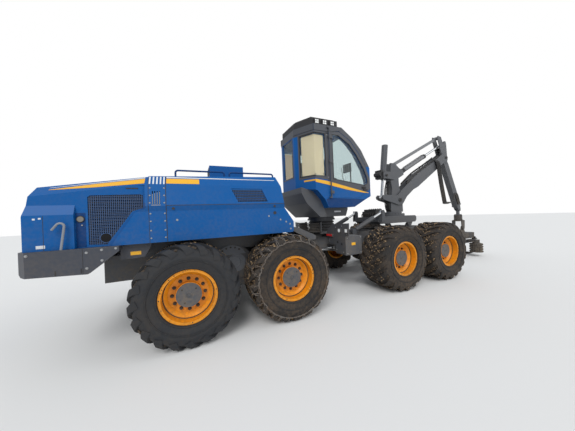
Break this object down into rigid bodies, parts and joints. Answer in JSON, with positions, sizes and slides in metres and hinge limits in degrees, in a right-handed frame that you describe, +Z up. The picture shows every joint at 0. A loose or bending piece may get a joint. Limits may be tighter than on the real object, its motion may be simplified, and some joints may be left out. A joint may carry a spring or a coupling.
{
  "type": "forestry harvester",
  "caption": "Articulated eight-wheeled forestry harvester with bogie wheels, rear engine hood, turning cab, tilting parallel crane and harvester head.",
  "frame": {"origin": "on the ground below the middle of the machine's length and width", "axes": "+X forward to the crane, +Y to the machine's left, +Z up"},
  "size_m": [11.0826, 2.982, 4.0901],
  "materials": {
    "frame_paint": "satin charcoal paint, dusty",
    "blue_panel": "gloss blue panel",
    "blue_paint": "gloss blue paint",
    "black_trim": "matt black",
    "amber_paint": "amber rim paint with grime",
    "tyre": "worn rubber with mud",
    "engine": "rough casting",
    "chrome": "hard chromed",
    "steel": "worn steel",
    "glass": "clear tinted",
    "seat": "woven cloth",
    "head_steel": "black paint worn to steel"
  },
  "bodies": {
    "rear_frame": {"rear_chassis": "frame_paint", "rear_bogies": "frame_paint", "rear_platform": "frame_paint", "engine_block": "engine", "rear_hood": "blue_panel", "hood_grilles": "black_trim", "tank_body": "blue_panel", "hand_rails": "frame_paint"},
    "front_frame": {"front_chassis": "frame_paint", "front_bogies": "frame_paint", "side_boxes": "frame_paint"},
    "cab": {"cab_base": "frame_paint", "cab_shell": "blue_paint", "cab_roof": "black_trim", "cab_glass": "glass", "cab_seat": "seat"},
    "cab_door": {"cab_door": "blue_paint", "door_glass": "glass"},
    "crane_base": {"crane_base": "frame_paint"},
    "tilt_barrels": {"tilt_barrels": "frame_paint"},
    "tilt_rods": {"tilt_rods": "chrome"},
    "steer_barrel_r": {"steer_barrel_r": "frame_paint"},
    "steer_rod_r": {"steer_rod_r": "chrome"},
    "steer_barrel_l": {"steer_barrel_l": "frame_paint"},
    "steer_rod_l": {"steer_rod_l": "chrome"},
    "crane_pillar": {"crane_pillar": "frame_paint", "lift_barrel": "frame_paint"},
    "lift_rod": {"lift_rod": "chrome"},
    "main_boom": {"main_boom": "frame_paint"},
    "tie_rod": {"tie_rod": "steel"},
    "elbow_link": {"elbow_link": "frame_paint"},
    "jib_barrel": {"jib_barrel": "steel"},
    "jib_rod": {"jib_rod": "chrome"},
    "outer_boom": {"outer_boom": "frame_paint"},
    "telescope": {"telescope": "frame_paint"},
    "tip_link": {"tip_link": "frame_paint"},
    "rotator": {"rotator_yoke": "head_steel"},
    "head_frame": {"head_frame": "head_steel"},
    "saw_bar": {"saw_bar": "steel"},
    "knife_left": {"knife_left": "head_steel"},
    "knife_right": {"knife_right": "head_steel"},
    "feed_arm_left": {"feed_arm_left": "head_steel"},
    "feed_arm_right": {"feed_arm_right": "head_steel"},
    "wheel_rr1": {"rim_rr1": "amber_paint", "tyre_rr1": "tyre"},
    "wheel_rl1": {"rim_rl1": "amber_paint", "tyre_rl1": "tyre"},
    "wheel_rr2": {"rim_rr2": "amber_paint", "tyre_rr2": "tyre"},
    "wheel_rl2": {"rim_rl2": "amber_paint", "tyre_rl2": "tyre"},
    "wheel_fr1": {"rim_fr1": "amber_paint", "tyre_fr1": "tyre"},
    "wheel_fl1": {"rim_fl1": "amber_paint", "tyre_fl1": "tyre"},
    "wheel_fr2": {"rim_fr2": "amber_paint", "tyre_fr2": "tyre"},
    "wheel_fl2": {"rim_fl2": "amber_paint", "tyre_fl2": "tyre"}
  },
  "joints": [
    {"name": "wheel_rr1_spin", "type": "hinge", "parent": "rear_frame", "child": "wheel_rr1", "pos_m": [-3.87131, -1.14, 0.6725], "axis": [0, 1, 0], "continuous": true},
    {"name": "wheel_rl1_spin", "type": "hinge", "parent": "rear_frame", "child": "wheel_rl1", "pos_m": [-3.87131, 1.14, 0.6725], "axis": [0, 1, 0], "continuous": true},
    {"name": "wheel_rr2_spin", "type": "hinge", "parent": "rear_frame", "child": "wheel_rr2", "pos_m": [-2.37131, -1.14, 0.6725], "axis": [0, 1, 0], "continuous": true},
    {"name": "wheel_rl2_spin", "type": "hinge", "parent": "rear_frame", "child": "wheel_rl2", "pos_m": [-2.37131, 1.14, 0.6725], "axis": [0, 1, 0], "continuous": true},
    {"name": "wheel_fr1_spin", "type": "hinge", "parent": "front_frame", "child": "wheel_fr1", "pos_m": [0.17069, -1.14, 0.6725], "axis": [0, 1, 0], "continuous": true},
    {"name": "wheel_fl1_spin", "type": "hinge", "parent": "front_frame", "child": "wheel_fl1", "pos_m": [0.17069, 1.14, 0.6725], "axis": [0, 1, 0], "continuous": true},
    {"name": "wheel_fr2_spin", "type": "hinge", "parent": "front_frame", "child": "wheel_fr2", "pos_m": [1.67069, -1.14, 0.6725], "axis": [0, 1, 0], "continuous": true},
    {"name": "wheel_fl2_spin", "type": "hinge", "parent": "front_frame", "child": "wheel_fl2", "pos_m": [1.67069, 1.14, 0.6725], "axis": [0, 1, 0], "continuous": true},
    {"name": "steering", "type": "hinge", "parent": "rear_frame", "child": "front_frame", "pos_m": [-1.09131, 0, 0.965], "axis": [0, 0, 1], "range_deg": [-36, 36]},
    {"name": "cab_slew", "type": "hinge", "parent": "front_frame", "child": "cab", "pos_m": [-0.89131, 0, 1.57], "axis": [0, 0, 1], "range_deg": [-90, 90]},
    {"name": "door", "type": "hinge", "parent": "cab", "child": "cab_door", "pos_m": [-1.13131, -0.812, 2.7], "axis": [0, 0, -1], "range_deg": [0, 80]},
    {"name": "crane_tilt", "type": "hinge", "parent": "front_frame", "child": "crane_base", "pos_m": [1.77869, 0, 1.27], "axis": [0, 1, 0], "range_deg": [-5, 15]},
    {"name": "crane_slew", "type": "hinge", "parent": "crane_base", "child": "crane_pillar", "pos_m": [1.52869, 0, 1.58], "axis": [0, 0, 1], "range_deg": [-110, 110]},
    {"name": "boom_lift", "type": "hinge", "parent": "crane_pillar", "child": "main_boom", "pos_m": [1.77869, 0, 1.98], "axis": [0, -1, 0], "range_deg": [-25, 20]},
    {"name": "jib", "type": "hinge", "parent": "elbow_link", "child": "outer_boom", "pos_m": [4.07975, 0, 3.37906], "axis": [0, -1, 0], "range_deg": [-25, 70]},
    {"name": "telescope", "type": "slide", "parent": "outer_boom", "child": "telescope", "axis": [0.4067, 0, -0.9135], "range_m": [0, 1.1]},
    {"name": "link_swing", "type": "hinge", "parent": "telescope", "child": "tip_link", "pos_m": [4.86231, 0, 1.6214], "axis": [0, 1, 0], "range_deg": [-30, 65]},
    {"name": "rotator_turn", "type": "hinge", "parent": "tip_link", "child": "rotator", "pos_m": [4.86231, 0, 1.3214], "axis": [0, 0, 1], "continuous": true},
    {"name": "head_tilt", "type": "hinge", "parent": "rotator", "child": "head_frame", "pos_m": [4.86231, 0, 0.9814], "axis": [0, 1, 0], "range_deg": [-95, 0]},
    {"name": "saw_swing", "type": "hinge", "parent": "head_frame", "child": "saw_bar", "pos_m": [4.04231, 0.3, 0.6514], "axis": [1, 0, 0], "range_deg": [0, 80]},
    {"name": "knife_left_open", "type": "hinge", "parent": "head_frame", "child": "knife_left", "pos_m": [4.86231, 0.19, 0.5014], "axis": [1, 0, 0], "range_deg": [0, 55]},
    {"name": "feed_arm_left_open", "type": "hinge", "parent": "head_frame", "child": "feed_arm_left", "pos_m": [4.86231, 0.19, 0.5014], "axis": [1, 0, 0], "range_deg": [-10, 30]},
    {"name": "knife_right_open", "type": "hinge", "parent": "head_frame", "child": "knife_right", "pos_m": [4.86231, -0.19, 0.5014], "axis": [-1, 0, 0], "range_deg": [0, 55]},
    {"name": "feed_arm_right_open", "type": "hinge", "parent": "head_frame", "child": "feed_arm_right", "pos_m": [4.86231, -0.19, 0.5014], "axis": [-1, 0, 0], "range_deg": [-10, 30]},
    {"name": "steer_barrel_r_swing", "type": "hinge", "parent": "rear_frame", "child": "steer_barrel_r", "pos_m": [-2.12131, -0.53, 0.9], "axis": [0, 0, 1], "range_deg": [-12, 12]},
    {"name": "steer_rod_r_slide", "type": "slide", "parent": "steer_barrel_r", "child": "steer_rod_r", "axis": [0.9992, 0.0406, 0], "range_m": [-0.2994, 0.2994]},
    {"name": "steer_barrel_l_swing", "type": "hinge", "parent": "rear_frame", "child": "steer_barrel_l", "pos_m": [-2.12131, 0.53, 0.9], "axis": [0, 0, 1], "range_deg": [-12, 12]},
    {"name": "steer_rod_l_slide", "type": "slide", "parent": "steer_barrel_l", "child": "steer_rod_l", "axis": [0.9992, -0.0406, 0], "range_m": [-0.2994, 0.2994]},
    {"name": "tilt_barrels_swing", "type": "hinge", "parent": "front_frame", "child": "tilt_barrels", "pos_m": [-0.32131, 0, 1.225], "axis": [0, -1, 0], "range_deg": [-12, 12]},
    {"name": "tilt_rods_slide", "type": "slide", "parent": "tilt_barrels", "child": "tilt_rods", "axis": [0.9148, 0, 0.4039], "range_m": [-0.0841, 0.2483]},
    {"name": "lift_rod_slide", "type": "slide", "parent": "crane_pillar", "child": "lift_rod", "axis": [-0.1437, 0, -0.9896], "range_m": [-0.2589, 0.2075]},
    {"name": "tie_rod_swing", "type": "hinge", "parent": "crane_pillar", "child": "tie_rod", "pos_m": [1.57869, 0, 2.97], "axis": [0, -1, 0], "range_deg": [-28, 23]},
    {"name": "elbow_link_swing", "type": "hinge", "parent": "main_boom", "child": "elbow_link", "pos_m": [4.07975, 0, 3.37906], "axis": [0, -1, 0], "range_deg": [-30, 38]},
    {"name": "jib_barrel_swing", "type": "hinge", "parent": "crane_pillar", "child": "jib_barrel", "pos_m": [1.95869, 0, 2.8], "axis": [0, -1, 0], "range_deg": [-28, 23]},
    {"name": "jib_rod_slide", "type": "slide", "parent": "jib_barrel", "child": "jib_rod", "axis": [0.8945, 0, 0.4471], "range_m": [-0.5995, 0.2154]}
  ],
  "couplings": [
    {"joint": "steer_barrel_r_swing", "follows": "steering", "ratio": 0.1265},
    {"joint": "steer_rod_r_slide", "follows": "steering", "m_per_rad": 0.4733},
    {"joint": "steer_barrel_l_swing", "follows": "steering", "ratio": 0.1265},
    {"joint": "steer_rod_l_slide", "follows": "steering", "m_per_rad": -0.4733},
    {"joint": "tilt_barrels_swing", "follows": "crane_tilt", "ratio": 0.6887},
    {"joint": "tilt_rods_slide", "follows": "crane_tilt", "m_per_rad": 0.9407},
    {"joint": "lift_rod_slide", "follows": "boom_lift", "m_per_rad": 0.5888},
    {"joint": "tie_rod_swing", "follows": "boom_lift", "ratio": 1.06},
    {"joint": "elbow_link_swing", "follows": "boom_lift", "ratio": -1.43},
    {"joint": "jib_barrel_swing", "follows": "boom_lift", "ratio": 1.045},
    {"joint": "jib_rod_slide", "follows": "jib", "m_per_rad": -0.4891}
  ]
}
